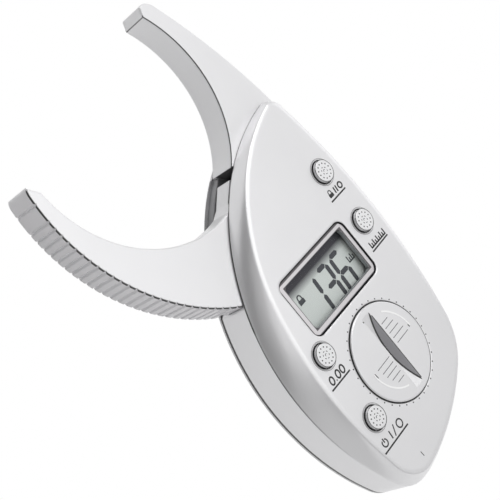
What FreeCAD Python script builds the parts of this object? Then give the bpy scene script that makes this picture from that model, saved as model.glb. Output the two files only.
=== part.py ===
"""Digital skinfold caliper: a hand-held pair of curved plastic jaws, one fixed and one
pivoting, on a flat shield-shaped housing that carries a display, four keys and a coin cell.

Millimetres, +Z out of the front face. The origin lies on the jaw's pivot axis, on the back face.
"""
import FreeCAD, Part
import math
import os
import Sketcher

Vector = FreeCAD.Vector
doc = FreeCAD.newDocument("skinfold_caliper")

# ---------------------------------------------------------------- driving dimensions

DIMENSIONS = {
    # heights above the back face
    "rim_height": 1.1,            # visible edge of the back housing, up to the parting line
    "floor_thickness": 2.0,
    "platform_radius": 18.8,
    "platform_height": 3.9,       # bearing platform under the moving jaw's tongue
    "platform_inset": 0.5,
    "crease_height": 5.0,         # below the face, where the side wall turns into the flank
    "body_height": 16.4,
    "cover_wall": 1.8,
    "shell_gap": 0.15,            # between the locating lip and the cover's wall
    "lip_width": 1.2,
    "lip_height": 3.4,
    "back_bevel": 0.5,
    "flank_crown": 0.5,           # how much the cover's flank bulges, as a share of its slope
    "edge_band_width": 0.9,       # narrow shallow bevel between the flank and the flat face
    "edge_band_drop": 0.2,
    # side wall outline: long arcs joined by tangent corners. Each arc passes through the point
    # (x, y), which lies at the angle (degrees from +X) seen from the arc's centre.
    "shoulder_arc_x": -2.351, "shoulder_arc_y": 6.483, "shoulder_arc_angle": 130.0,
    "shoulder_arc_radius": 59.57,
    "flank_arc_radius": 66.0,
    "wall_join_angle": 180.0,     # where the shoulder arc turns into the flank arc
    "heel_corner_radius": 9.2,
    "base_arc_x": 3.634, "base_arc_y": -73.2, "base_arc_angle": -75.0,
    "base_arc_radius": 64.5,
    "tail_corner_radius": 20.5,
    "spine_arc_x": 35.5, "spine_arc_y": -17.91, "spine_arc_angle": 0.0,
    "spine_arc_radius": 156.3,
    "nose_corner_radius": 4.5,
    # front face outline, from the wall's
    "face_shoulder_shift_x": 0.46, "face_shoulder_shift_y": 6.2,
    "face_shoulder_inset": 6.1,
    "face_flank_flattening": 34.0,
    "face_join_angle": 165.2,
    "face_heel_tightening": 0.5,
    "face_base_inset": 2.85,
    "face_tail_tightening": 1.7,
    "face_spine_inset": 3.7,
    "face_nose_tightening": 1.5,
    # fixed jaw, its arcs given as the wall's
    "fixed_inner_x": 18.362, "fixed_inner_y": 32.76, "fixed_inner_angle": -11.0,
    "fixed_inner_radius": 33.07,
    "fixed_outer_x": 28.745, "fixed_outer_y": 31.992, "fixed_outer_angle": 15.0,
    "fixed_outer_radius": 150.42,
    "fixed_jaw_back": 2.6,
    "fixed_jaw_front": 5.1,       # below the front face
    "fixed_tip_reach": 54.7,      # height of the contact face's lower end
    "fixed_root_low": 7.6,
    "fixed_root_corner_x": 13.0,
    "fixed_shoulder_y": 15.5,     # where the cover's wall meets the jaw's outer edge
    "fixed_throat_y": 13.4,       # inner end of the fixed jaw's inner edge
    "mouth_corner_x": 20.0,       # where the edge of the housing's mouth turns along the jaw
    "fixed_tip_drop": 0.8,
    # moving jaw
    "moving_inner_x": -28.464, "moving_inner_y": 13.719, "moving_inner_angle": 229.0,
    "moving_inner_radius": 32.61,
    "moving_outer_x": -38.105, "moving_outer_y": 9.69, "moving_outer_angle": 206.0,
    "moving_outer_radius": 51.92,
    "moving_jaw_back": 1.5,
    "moving_jaw_front": 5.3,      # below the front face
    "jaw_edge_bevel": 0.35,
    "jaw_plain_reach": 8.0,       # nearer the pivot the jaw's edges stay sharp
    "opening_angle": 61.5,        # from the contact faces meeting to fully open
    "contact_length": 2.7,
    "contact_angle": 66.0,        # direction of the fixed contact face from +X
    "heel_angle": 215.8,          # direction of the jaw's heel from the pivot, fully open
    "heel_clearance_angle": 0.6,
    "moving_contact_length": 1.9,
    "moving_outer_end": 39.0,
    "moving_inner_end": 37.9,
    "moving_throat_x": -2.8,
    "notch_x": -0.1, "notch_y": 7.3,
    "brow_angle": 66.4,
    "step_end_angle": 100.0,
    "hub_start_angle": -95.0, "hub_end_angle": 160.0,
    "sweep_radius": 22.1,         # inside it the jaw's underside clears the back housing
    "tongue_bottom": 4.2,
    "tongue_top": 6.6,            # below the front face
    "step_radius": 6.0,           # inside it the jaw's top drops to the tongue's
    "hub_radius": 8.5,
    "shoulder_radius": 12.2,
    "tail_radius": 19.5,
    "tail_start_angle": -79.0,
    "tail_end_angle": -5.0,
    "rib_pitch": 2.1,
    "rib_depth": 0.55,
    "rib_count": 26,
    "groove_width": 0.9,
    "first_rib_angle": 180.5,
    "tip_line_angle": 175.3,
    # pivot
    "pin_radius": 2.4,
    "pin_foot": 1.2,
    "pin_head_radius": 4.2,
    "pin_head_height": 1.1,
    "running_clearance": 0.05,
    "seat_clearance": 0.02,
    "washer_radius": 4.1,
    "wave_washer_height": 0.2,
    # return spring
    "spring_wire": 0.8,
    "spring_mean_radius": 4.95,
    "spring_turns": 3.0,
    "spring_pitch": 0.9,
    "spring_leg": 1.2,
    "spring_room": 0.3,
    # encoder
    "rotor_thickness": 0.3,
    "rotor_inner_radius": 12.5,
    "rotor_edge": 0.5,
    "rotor_end_angle": 3.0,       # bare tail at each end of the pattern
    # circuit board
    "board_bottom": 6.0,          # below the front face
    "board_thickness": 1.0,
    "board_margin": 3.2,
    "board_pivot_radius": 8.4,
    "board_mouth_angle": 4.0,
    "board_root_gap": 0.4,
    "board_clearance": 0.2,
    # display
    "display_x": 4.5, "display_y": -22.1,
    "bezel_width": 29.0, "bezel_depth": 15.9, "bezel_corner": 2.2,
    "bezel_gap": 0.35,
    "bezel_sink": 0.35,
    "bezel_frame": 1.5,
    "bezel_flange": 1.0,
    "bezel_flange_reach": 1.0,
    "window_thickness": 1.0,
    "window_sill": 0.2,
    "window_overlap": 0.8,
    "glass_thickness": 1.4,
    "strip_width": 1.8,
    "chip_radius": 4.0, "chip_height": 0.7,
    # keys
    "hold_key_x": 24.7, "hold_key_y": -2.7,
    "unit_key_x": 25.0, "unit_key_y": -18.8,
    "zero_key_x": -12.25, "zero_key_y": -33.7,
    "power_key_x": -12.25, "power_key_y": -53.3,
    "key_radius": 2.95,
    "key_gap": 0.3,
    "key_proud": 1.0,
    "key_flange_radius": 3.7,
    "key_flange_height": 1.1,
    "key_stem_radius": 1.2,
    "key_stem": 0.5,
    "key_bevel": 0.2,
    "switch_width": 4.6,
    "switch_height": 0.8,
    "switch_dome_radius": 1.5,
    "switch_dome_height": 0.2,
    # battery
    "battery_x": 4.88, "battery_y": -46.27,
    "cell_radius": 10.0, "cell_height": 3.2,
    "cell_bottom": 5.5,           # below the front face
    "cap_radius": 12.75,
    "cap_gap": 0.25,
    "cap_thickness": 1.5,
    "cap_proud": 0.45,
    "cap_bevel": 0.25,
    "cap_skirt": 1.2,
    "lug_reach": 1.0,
    "lug_height": 0.8,
    "lug_width": 6.0,
    "lug_clearance": 0.2,
    "unlock_angle": 40.0,
    "slot_length": 22.0,
    "slot_depth": 1.8,
    "slot_offset": 0.49,
    "slot_floor_width": 1.5,
    "slot_slope_width": 1.62,
    "slot_bar_width": 6.0,
    "ledge_radius": 11.6,
    "well_radius": 13.2,
    "well_wall": 0.9,
    "cup_wall": 2.2,
    "cup_floor": 1.0,
    "cup_clearance": 0.3,
    "cup_flange": 0.55,
    "cup_headroom": 1.4,
    "cell_shoulder": 0.6,
    "cup_flange_height": 0.8,
    "contact_thickness": 0.3,
    "contact_width": 4.0,
    "contact_rise": 0.7,
    "contact_crown": 1.5,
    "leaf_half_length": 7.0,
    # fasteners
    "housing_screw_1_x": 21.5, "housing_screw_1_y": 3.5,
    "housing_screw_2_x": 26.0, "housing_screw_2_y": -33.0,
    "housing_screw_3_x": -14.5, "housing_screw_3_y": -43.5,
    "housing_screw_4_x": 2.0, "housing_screw_4_y": -66.0,
    "board_screw_1_x": 27.5, "board_screw_1_y": -10.7,
    "board_screw_2_x": 20.5, "board_screw_2_y": -58.0,
    "board_screw_3_x": -10.5, "board_screw_3_y": -62.5,
    "board_screw_4_x": -13.5, "board_screw_4_y": -24.0,
    "boss_radius": 2.6,
    "screw_radius": 1.0,
    "screw_clearance": 0.3,
    "screw_head_radius": 2.0,
    "screw_head_height": 1.0,
    "screw_sink": 0.2,
    "screw_length": 8.0,
    "board_screw_radius": 0.8,
    "board_screw_head_radius": 1.6,
    "board_screw_head_height": 0.7,
    "board_screw_length": 3.2,
    "post_radius": 2.0,
}

sheet = doc.addObject("Spreadsheet::Sheet", "dims")
for row, (alias, number) in enumerate(DIMENSIONS.items(), start=1):
    sheet.set(f"A{row}", alias)
    sheet.set(f"B{row}", str(number))
    sheet.setAlias(f"B{row}", alias)
doc.recompute()


class Size:
    """A number together with the sheet expression that gives it."""

    def __init__(self, value, text):
        self.value = value
        self.text = text

    def joined(self, other, sign, value):
        return Size(value, f"({self.text} {sign} {text_of(other)})")

    def __add__(self, other):
        return self.joined(other, "+", self.value + value_of(other))

    def __sub__(self, other):
        return self.joined(other, "-", self.value - value_of(other))

    def __mul__(self, other):
        return self.joined(other, "*", self.value * value_of(other))

    def __truediv__(self, other):
        return self.joined(other, "/", self.value / value_of(other))

    def __neg__(self):
        return Size(-self.value, f"(-{self.text})")


def value_of(size):
    return size.value if isinstance(size, Size) else float(size)


def text_of(size):
    return size.text if isinstance(size, Size) else repr(float(size))


def dim(alias):
    return Size(DIMENSIONS[alias], f"dims.{alias}")


def bind(thing, path, size):
    """Drive one property from the sheet."""
    thing.setExpression(path, text_of(size))


def place(thing, x, y, z):
    for axis, size in zip("xyz", (x, y, z)):
        bind(thing, f"Placement.Base.{axis}", size)
    return thing


def place_of(name):
    return dim(name + "_x"), dim(name + "_y")


# places of what repeats
KEYS = {name: place_of(name) for name in ("hold_key", "unit_key", "zero_key", "power_key")}
HOUSING_SCREWS = [place_of(f"housing_screw_{i}") for i in (1, 2, 3, 4)]
BOARD_SCREWS = [place_of(f"board_screw_{i}") for i in (1, 2, 3, 4)]

OVERLAP = 0.2                     # how far pieces of one body run into each other
CLEAR = 1.0                       # how far a cutting tool runs past what it cuts
FAR = 120.0                       # beyond the whole caliper
UPPER_RIGHT, LOWER_LEFT, LOWER_RIGHT = Vector(1, 1, 0), Vector(-1, -1, 0), Vector(1, -1, 0)
FLANK_SHARES = (0.0, 0.5, 1.0)    # sections of the cover's flank, from the wall to the face


# ---------------------------------------------------------------- modelling helpers

def box(name, corner, lengths):
    thing = doc.addObject("Part::Box", name)
    for path, size in zip(("Length", "Width", "Height"), lengths):
        bind(thing, path, size)
    return place(thing, *corner)


def slab(name, centre_x, centre_y, z, width, depth, height):
    """A box centred on a point of the plan."""
    corner = (centre_x - width / 2, centre_y - depth / 2, z)
    return box(name, corner, (width, depth, height))


def turned_slab(name, centre, z, width, depth, height, degrees):
    """A slab turned in plan about its centre."""
    cosine, sine = math.cos(math.radians(degrees)), math.sin(math.radians(degrees))
    x = centre[0] - width * (cosine / 2) + depth * (sine / 2)
    y = centre[1] - width * (sine / 2) - depth * (cosine / 2)
    thing = box(name, (x, y, z), (width, depth, height))
    thing.Placement.Rotation = FreeCAD.Rotation(Vector(0, 0, 1), degrees)
    return thing


def cylinder(name, x, y, z, radius, height):
    thing = doc.addObject("Part::Cylinder", name)
    bind(thing, "Radius", radius)
    bind(thing, "Height", height)
    return place(thing, x, y, z)


def extrude(name, sketch, height):
    thing = doc.addObject("Part::Extrusion", name)
    thing.Base = sketch
    thing.DirMode = "Custom"
    thing.Dir = Vector(0, 0, 1)
    thing.Solid = True
    bind(thing, "LengthFwd", height)
    return thing


def loft(name, *sketches):
    """A solid through flat sections: straight between two of them, smooth through more."""
    thing = doc.addObject("Part::Loft", name)
    thing.Sections = list(sketches)
    thing.Solid = True
    thing.Ruled = len(sketches) == 2
    return thing


def fuse(name, *things):
    thing = doc.addObject("Part::MultiFuse", name)
    thing.Shapes = list(things)
    thing.Refine = True
    return thing


def common(name, *things):
    thing = doc.addObject("Part::MultiCommon", name)
    thing.Shapes = list(things)
    return thing


def cut(name, base, *tools):
    thing = doc.addObject("Part::Cut", name)
    thing.Base = base
    thing.Tool = tools[0] if len(tools) == 1 else fuse(name + "_tools", *tools)
    thing.Refine = True
    return thing


def bevel(name, base, chosen, width):
    """Cut off the edges of base that chosen(edge) picks."""
    doc.recompute()
    picked = [i for i, edge in enumerate(base.Shape.Edges, start=1) if chosen(edge)]
    thing = doc.addObject("Part::Chamfer", name)
    thing.Base = base
    thing.Edges = [(i, value_of(width), value_of(width)) for i in picked]
    return thing


def level(*heights):
    """A test for edges that lie flat at one of the heights."""
    def chosen(edge):
        ends = (edge.BoundBox.ZMin, edge.BoundBox.ZMax)
        return any(max(abs(end - value_of(height)) for end in ends) < 1e-3 for height in heights)
    return chosen


def beyond(reach, condition):
    """The same test, for edges whose middle is farther than reach from the pivot."""
    def chosen(edge):
        middle = edge.BoundBox.Center
        return math.hypot(middle.x, middle.y) > reach and condition(edge)
    return chosen


class Circle:
    """A circle of the plan, with its centre and radius on the sheet."""

    def __init__(self, x, y, radius):
        self.x, self.y, self.radius = x, y, radius

    def shrunk(self, inset):
        return Circle(self.x, self.y, self.radius - inset)

    def centre(self):
        return Vector(value_of(self.x), value_of(self.y), 0)

    def at(self, degrees):
        angle = math.radians(degrees)
        return self.centre() + Vector(math.cos(angle), math.sin(angle), 0) * value_of(self.radius)

    def angle_to(self, point):
        away = point - self.centre()
        return math.atan2(away.y, away.x)

    def touching(self, degrees, radius):
        """The circle of another radius that touches this one from inside at an angle."""
        angle = math.radians(degrees)
        step = self.radius - radius
        return Circle(self.x + step * math.cos(angle), self.y + step * math.sin(angle), radius)


def arc_through(name):
    """The circle of an arc that is held by one of its points."""
    x, y, radius = dim(name + "_x"), dim(name + "_y"), dim(name + "_radius")
    angle = math.radians(DIMENSIONS[name + "_angle"])
    return Circle(x - radius * math.cos(angle), y - radius * math.sin(angle), radius)


def meet(first, second, near, shrink=0.0):
    """The crossing of two circles, both smaller by shrink, that lies nearest to a point."""
    a, b = first.centre(), second.centre()
    ra, rb = value_of(first.radius) - shrink, value_of(second.radius) - shrink
    gap = (b - a).Length
    along = (ra * ra - rb * rb + gap * gap) / (2 * gap)
    across = math.sqrt(ra * ra - along * along)
    forward = (b - a) / gap
    side = Vector(-forward.y, forward.x, 0)
    crossings = [a + forward * along + side * across, a + forward * along - side * across]
    return min(crossings, key=lambda point: (point - near).Length)


class Profile:
    """A closed sketch of lines and arcs, drawn in order, its arcs held by the sheet."""

    def __init__(self, name, z):
        self.sketch = doc.addObject("Sketcher::SketchObject", name)
        bind(self.sketch, "Placement.Base.z", z)
        self.ends = []
        self.smooth = set()

    def add(self, curve, start, end):
        index = self.sketch.addGeometry(curve, False)
        self.ends.append((index, start, end))
        return index

    def line(self, start, end):
        self.add(Part.LineSegment(start, end), 1, 2)

    def hold(self, index, position, axis, size):
        kind = "DistanceX" if axis == "x" else "DistanceY"
        rule = Sketcher.Constraint(kind, index, position, value_of(size))
        number = self.sketch.addConstraint(rule)
        self.sketch.setExpression(f"Constraints[{number}]", text_of(size))

    def arc(self, circle, start, end, clockwise=False, free=False):
        first, last = (end, start) if clockwise else (start, end)
        full = Part.Circle(circle.centre(), Vector(0, 0, 1), value_of(circle.radius))
        low, high = circle.angle_to(first), circle.angle_to(last)
        if high <= low:
            high += 2 * math.pi
        curve = Part.ArcOfCircle(full, low, high)
        index = self.add(curve, 2, 1) if clockwise else self.add(curve, 1, 2)
        number = self.sketch.addConstraint(
            Sketcher.Constraint("Radius", index, value_of(circle.radius)))
        self.sketch.setExpression(f"Constraints[{number}]", text_of(circle.radius))
        if not free:
            self.hold(index, 3, "x", circle.x)
            self.hold(index, 3, "y", circle.y)

    def nose(self, start, end, along, before):
        """An arc from start to end, tangent at one of them to the direction along."""
        chord = end - start
        turn = math.atan2(along.cross(chord).z, along.dot(chord)) * (1 if before else -1)
        radius = chord.Length / 2 / math.sin(abs(turn))
        ball = bulge(radius, start, end)
        full = Part.Circle(ball.centre(), Vector(0, 0, 1), radius)
        low = ball.angle_to(start)
        high = low + abs(turn) * 2
        index = self.add(Part.ArcOfCircle(full, low, high), 1, 2)
        self.smooth.add(index - 1 if before else index)

    def close(self):
        pairs = zip(self.ends, self.ends[1:] + self.ends[:1])
        for (index, _, end), (following, start, _) in pairs:
            kind = "Tangent" if index in self.smooth else "Coincident"
            self.sketch.addConstraint(Sketcher.Constraint(kind, index, end, following, start))
        return self.sketch


# ---------------------------------------------------------------- the housing's outline

class Shield:
    """The measures of one shield outline: four circles, a join angle and three corner radii."""

    def __init__(self, shoulder, flank_radius, join, base, spine, heel, tail, nose):
        self.circles = (shoulder, base, spine)
        self.radii = (flank_radius, heel, tail, nose)
        self.join = join

    def toward(self, other, share):
        """The outline that lies a share of the way to another one."""
        def between(a, b):
            return a * (1 - share) + b * share

        shoulder, base, spine = (
            Circle(between(a.x, b.x), between(a.y, b.y), between(a.radius, b.radius))
            for a, b in zip(self.circles, other.circles))
        flank, heel, tail, nose = (between(a, b) for a, b in zip(self.radii, other.radii))
        join = self.join * (1 - share) + other.join * share
        return Shield(shoulder, flank, join, base, spine, heel, tail, nose)

    def drawn(self, name, z, inset=0.0):
        """Counter-clockwise from the nose: long arcs joined by tangent corners."""
        shoulder, base, spine = (circle.shrunk(inset) for circle in self.circles)
        flank_radius, heel, tail, nose = (radius - inset for radius in self.radii)
        flank = shoulder.touching(self.join, flank_radius)

        def corner(side, first, second, radius):
            centre = meet(first, second, side * FAR, value_of(radius))
            ball = Circle(centre.x, centre.y, radius)
            ends = [ball.at(math.degrees(circle.angle_to(centre))) for circle in (first, second)]
            return ball, *ends

        nose_ball, nose_spine, nose_shoulder = corner(UPPER_RIGHT, spine, shoulder, nose)
        heel_ball, heel_flank, heel_base = corner(LOWER_LEFT, flank, base, heel)
        tail_ball, tail_base, tail_spine = corner(LOWER_RIGHT, base, spine, tail)
        join = shoulder.at(self.join)
        outline = Profile(name, z)
        outline.arc(nose_ball, nose_spine, nose_shoulder, free=True)
        outline.arc(shoulder, nose_shoulder, join)
        outline.arc(flank, join, heel_flank, free=True)
        outline.arc(heel_ball, heel_flank, heel_base, free=True)
        outline.arc(base, heel_base, tail_base)
        outline.arc(tail_ball, tail_base, tail_spine, free=True)
        outline.arc(spine, tail_spine, nose_spine)
        return outline.close()


WALL = Shield(arc_through("shoulder_arc"), dim("flank_arc_radius"), DIMENSIONS["wall_join_angle"],
              arc_through("base_arc"), arc_through("spine_arc"), dim("heel_corner_radius"),
              dim("tail_corner_radius"), dim("nose_corner_radius"))


def face_shield():
    """The flat front face's outline, from the side wall's."""
    shoulder, base, spine = WALL.circles
    flank_radius, heel, tail, nose = WALL.radii
    shifted = Circle(shoulder.x + dim("face_shoulder_shift_x"),
                     shoulder.y + dim("face_shoulder_shift_y"),
                     shoulder.radius - dim("face_shoulder_inset"))
    return Shield(shifted, flank_radius + dim("face_flank_flattening"),
                  DIMENSIONS["face_join_angle"], base.shrunk(dim("face_base_inset")),
                  spine.shrunk(dim("face_spine_inset")), heel - dim("face_heel_tightening"),
                  tail - dim("face_tail_tightening"), nose - dim("face_nose_tightening"))


FRONT = face_shield()


def wall_outline(name, z, inset=0.0):
    """Plan of the side wall, or a parallel line inside it."""
    return WALL.drawn(name, z, inset)


def face_outline(name, z, inset=0.0):
    """Plan of the flat front face, or a parallel line inside it."""
    return FRONT.drawn(name, z, inset)


def polygon(name, z, points):
    outline = Profile(name, z)
    vectors = [Vector(value_of(x), value_of(y), 0) for x, y in points]
    for start, end in zip(vectors, vectors[1:] + vectors[:1]):
        outline.line(start, end)
    outline.close()
    for (index, start, _), (x, y) in zip(outline.ends, points):
        outline.hold(index, start, "x", x)
        outline.hold(index, start, "y", y)
    return outline.sketch


def jaw_mouth(name, z, height):
    """The sector, seen from the pivot, in which the housing has no side wall."""
    wall_end = math.radians(DIMENSIONS["heel_angle"] + DIMENSIONS["heel_clearance_angle"])
    points = [
        (0, 0), (dim("mouth_corner_x"), dim("fixed_shoulder_y")), (FAR, dim("fixed_shoulder_y")),
        (FAR, FAR), (-FAR, FAR),
        (FAR * math.cos(wall_end), FAR * math.sin(wall_end)),
    ]
    return extrude(name, polygon(name + "_plan", z, points), height)


def fixed_jaw_room(name):
    """The part of the mouth that the fixed jaw may fill, clear of the mouth's edge."""
    gap = dim("shell_gap") * 2
    edge = dim("fixed_shoulder_y") + gap
    points = [(0, gap), (dim("mouth_corner_x"), edge), (FAR, edge), (FAR, FAR), (0, FAR)]
    return extrude(name, polygon(name + "_plan", 0, points), FACE)


# ---------------------------------------------------------------- shared heights

FACE = dim("body_height")
UNDERSIDE = FACE - dim("cover_wall")                       # inner surface of the front wall
CREASE = FACE - dim("crease_height")
MOVING_JAW_FRONT = FACE - dim("moving_jaw_front")
TONGUE_TOP = FACE - dim("tongue_top")
BOARD_BOTTOM = FACE - dim("board_bottom")
BOARD_TOP = BOARD_BOTTOM + dim("board_thickness")
INNER = dim("cover_wall") + dim("shell_gap")               # inset of what stands inside the wall
CELL_BOTTOM = FACE - dim("cell_bottom")
CELL_TOP = CELL_BOTTOM + dim("cell_height")
SKIRT_FOOT = UNDERSIDE - dim("lug_clearance") - dim("lug_height")
DISPLAY = (dim("display_x"), dim("display_y"))
BATTERY = (dim("battery_x"), dim("battery_y"))


def rounded_plate(name, centre, z, width, depth, height, corner):
    """A flat plate with four round corners, as a body."""
    body = doc.addObject("PartDesign::Body", name)
    plane = next(f for f in body.Origin.OriginFeatures if f.Role == "XY_Plane")
    sketch = body.newObject("Sketcher::SketchObject", name + "_plan")
    sketch.AttachmentSupport = (plane, [""])
    sketch.MapMode = "FlatFace"
    right, top = value_of(width) / 2, value_of(depth) / 2
    corners = [Vector(-right, -top, 0), Vector(right, -top, 0), Vector(right, top, 0),
               Vector(-right, top, 0)]
    for index in range(4):
        sketch.addGeometry(Part.LineSegment(corners[index], corners[(index + 1) % 4]), False)
    for index in range(4):
        sketch.addConstraint(Sketcher.Constraint("Coincident", index, 2, (index + 1) % 4, 1))
    limits = [(0, 1, "DistanceX", -(width / 2)), (0, 1, "DistanceY", -(depth / 2)),
              (1, 1, "DistanceX", width / 2), (1, 1, "DistanceY", -(depth / 2)),
              (2, 1, "DistanceX", width / 2), (2, 1, "DistanceY", depth / 2),
              (3, 1, "DistanceX", -(width / 2)), (3, 1, "DistanceY", depth / 2)]
    for line, position, kind, size in limits:
        number = sketch.addConstraint(Sketcher.Constraint(kind, line, position, value_of(size)))
        sketch.setExpression(f"Constraints[{number}]", text_of(size))
    pad = body.newObject("PartDesign::Pad", name + "_pad")
    pad.Profile = sketch
    bind(pad, "Length", height)
    doc.recompute()
    upright = [f"Edge{i}" for i, edge in enumerate(pad.Shape.Edges, start=1)
               if edge.BoundBox.ZLength > value_of(height) / 2]
    rounding = body.newObject("PartDesign::Fillet", name + "_corners")
    rounding.Base = (pad, upright)
    bind(rounding, "Radius", corner)
    return place(body, centre[0], centre[1], z)


def turned(name, centre, steps):
    """A stepped round piece: steps are (radius, top) pairs above the first one's (0, bottom)."""
    body = doc.addObject("PartDesign::Body", name)
    plane = next(f for f in body.Origin.OriginFeatures if f.Role == "XZ_Plane")
    sketch = body.newObject("Sketcher::SketchObject", name + "_half")
    sketch.AttachmentSupport = (plane, [""])
    sketch.MapMode = "FlatFace"
    bottom = steps[0][1]
    points = [(0.0, bottom)]
    for radius, top in steps[1:]:
        points += [(radius, points[-1][1]), (radius, top)]
    points.append((0.0, points[-1][1]))
    vectors = [Vector(value_of(x), value_of(z), 0) for x, z in points]
    count = len(points)
    for index in range(count):
        sketch.addGeometry(Part.LineSegment(vectors[index], vectors[(index + 1) % count]), False)
    for index in range(count):
        sketch.addConstraint(
            Sketcher.Constraint("Coincident", index, 2, (index + 1) % count, 1))
    for index, (x, z) in enumerate(points):
        for kind, size in (("DistanceX", x), ("DistanceY", z)):
            number = sketch.addConstraint(
                Sketcher.Constraint(kind, index, 1, value_of(size)))
            sketch.setExpression(f"Constraints[{number}]", text_of(size))
    turn = body.newObject("PartDesign::Revolution", name + "_turn")
    turn.Profile = sketch
    turn.ReferenceAxis = (sketch, ["V_Axis"])
    turn.Angle = 360
    return place(body, centre[0], centre[1], 0)


def ring(name, centre, bottom, inner, outer, height):
    disc = cylinder(name + "_disc", centre[0], centre[1], bottom, outer, height)
    bore = cylinder(name + "_bore", centre[0], centre[1], bottom, inner, height)
    return cut(name, disc, bore)


def on_circle(circle, y, side):
    """The point of a circle at a height y, on its right (+1) or left (-1) side."""
    rise = value_of(y) - value_of(circle.y)
    run = math.sqrt(value_of(circle.radius) ** 2 - rise ** 2)
    return Vector(value_of(circle.x) + side * run, value_of(y), 0)


def on_ray(circle, degrees):
    """Where a ray from the pivot leaves a circle."""
    ray = Vector(math.cos(math.radians(degrees)), math.sin(math.radians(degrees)), 0)
    near = ray.dot(circle.centre())
    far = math.sqrt(near ** 2 - circle.centre().Length ** 2 + value_of(circle.radius) ** 2)
    return ray * (near + far)


def bulge(radius, start, end):
    """The circle of one radius that bulges to the right of the way from start to end."""
    half = (end - start) * 0.5
    left = Vector(-half.y, half.x, 0).normalize()
    centre = start + half + left * math.sqrt(value_of(radius) ** 2 - half.Length ** 2)
    return Circle(centre.x, centre.y, radius)


def heading(circle, point):
    """The counter-clockwise direction of a circle at one of its points."""
    away = point - circle.centre()
    return Vector(-away.y, away.x, 0).normalize()


def turned_about_pivot(point, degrees):
    return FreeCAD.Rotation(Vector(0, 0, 1), degrees).multVec(point)


PIVOT = (0, 0)
PIVOT_POINT = Vector(0, 0, 0)


# ---------------------------------------------------------------- jaw outlines

FIXED_INNER = arc_through("fixed_inner")
FIXED_OUTER = arc_through("fixed_outer")
MOVING_INNER = arc_through("moving_inner")
MOVING_OUTER = arc_through("moving_outer")


def contact_face():
    """Lower and upper ends of the fixed jaw's contact face."""
    low = on_circle(FIXED_INNER, dim("fixed_tip_reach"), 1)
    angle = math.radians(DIMENSIONS["contact_angle"])
    high = low + Vector(math.cos(angle), math.sin(angle), 0) * DIMENSIONS["contact_length"]
    return low, high


def fixed_jaw_plan(name, z):
    low, high = contact_face()
    root = Vector(DIMENSIONS["fixed_root_corner_x"], DIMENSIONS["fixed_root_low"], 0)
    spine_foot = on_circle(FIXED_OUTER, dim("fixed_root_low"), 1)
    tip = on_circle(FIXED_OUTER, dim("fixed_tip_reach") + dim("fixed_tip_drop"), 1)
    throat = on_circle(FIXED_INNER, dim("fixed_throat_y"), 1)
    plan = Profile(name, z)
    plan.line(root, spine_foot)
    plan.arc(FIXED_OUTER, spine_foot, tip)
    plan.nose(tip, high, heading(FIXED_OUTER, tip), before=True)
    plan.line(high, low)
    plan.arc(FIXED_INNER, low, throat, clockwise=True)
    plan.line(throat, root)
    return plan.close()


def moving_tip():
    """The moving jaw's contact face, fully open, and the two ends of the jaw's edges."""
    low, high = (turned_about_pivot(point, DIMENSIONS["opening_angle"]) for point in contact_face())
    high = low + (high - low).normalize() * DIMENSIONS["moving_contact_length"]
    outer_end = on_circle(MOVING_OUTER, dim("moving_outer_end"), -1)
    inner_end = on_circle(MOVING_INNER, dim("moving_inner_end"), -1)
    return inner_end, low, high, outer_end


def moving_arm_plan(name, z):
    """The arm as seen from the front, in to the step round the pivot."""
    heel = on_ray(MOVING_OUTER, DIMENSIONS["heel_angle"])
    step = Circle(0, 0, dim("step_radius"))
    heel_in = step.at(DIMENSIONS["heel_angle"])
    throat = inner_edge_at(DIMENSIONS["moving_throat_x"])
    notch = Vector(DIMENSIONS["notch_x"], DIMENSIONS["notch_y"], 0)
    step_end = step.at(DIMENSIONS["step_end_angle"])
    inner_end, low, high, outer_end = moving_tip()
    plan = Profile(name, z)
    plan.arc(MOVING_INNER, throat, inner_end, clockwise=True)
    plan.line(inner_end, low)
    plan.line(low, high)
    plan.nose(high, outer_end, heading(MOVING_OUTER, outer_end), before=False)
    plan.arc(MOVING_OUTER, outer_end, heel)
    plan.line(heel, heel_in)
    plan.arc(step, heel_in, step_end, clockwise=True)
    plan.line(step_end, notch)
    plan.line(notch, throat)
    return plan.close()


def inner_edge_at(x):
    """The point of the moving jaw's inner edge at a given x."""
    run = x - value_of(MOVING_INNER.x)
    drop = math.sqrt(value_of(MOVING_INNER.radius) ** 2 - run ** 2)
    return Vector(x, value_of(MOVING_INNER.y) - drop, 0)


def tongue_plan(name, z):
    """Hub, shoulder and tail sector of the moving jaw, inside the housing."""
    hub = Circle(0, 0, dim("hub_radius"))
    shoulder = Circle(0, 0, dim("shoulder_radius"))
    tail = Circle(0, 0, dim("tail_radius"))
    throat = inner_edge_at(DIMENSIONS["moving_throat_x"])
    notch = Vector(DIMENSIONS["notch_x"], DIMENSIONS["notch_y"], 0)
    brow = shoulder.at(DIMENSIONS["brow_angle"])
    saddle = shoulder.at(DIMENSIONS["tail_end_angle"])
    tail_end = tail.at(DIMENSIONS["tail_end_angle"])
    tail_start = tail.at(DIMENSIONS["tail_start_angle"])
    hub_start = hub.at(DIMENSIONS["hub_start_angle"])
    hub_end = hub.at(DIMENSIONS["hub_end_angle"])
    plan = Profile(name, z)
    plan.line(throat, notch)
    plan.line(notch, brow)
    plan.arc(shoulder, brow, saddle, clockwise=True)
    plan.line(saddle, tail_end)
    plan.arc(tail, tail_end, tail_start, clockwise=True)
    plan.line(tail_start, hub_start)
    plan.arc(hub, hub_start, hub_end, clockwise=True)
    plan.line(hub_end, throat)
    return plan.close()


# ---------------------------------------------------------------- sub-parts

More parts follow.
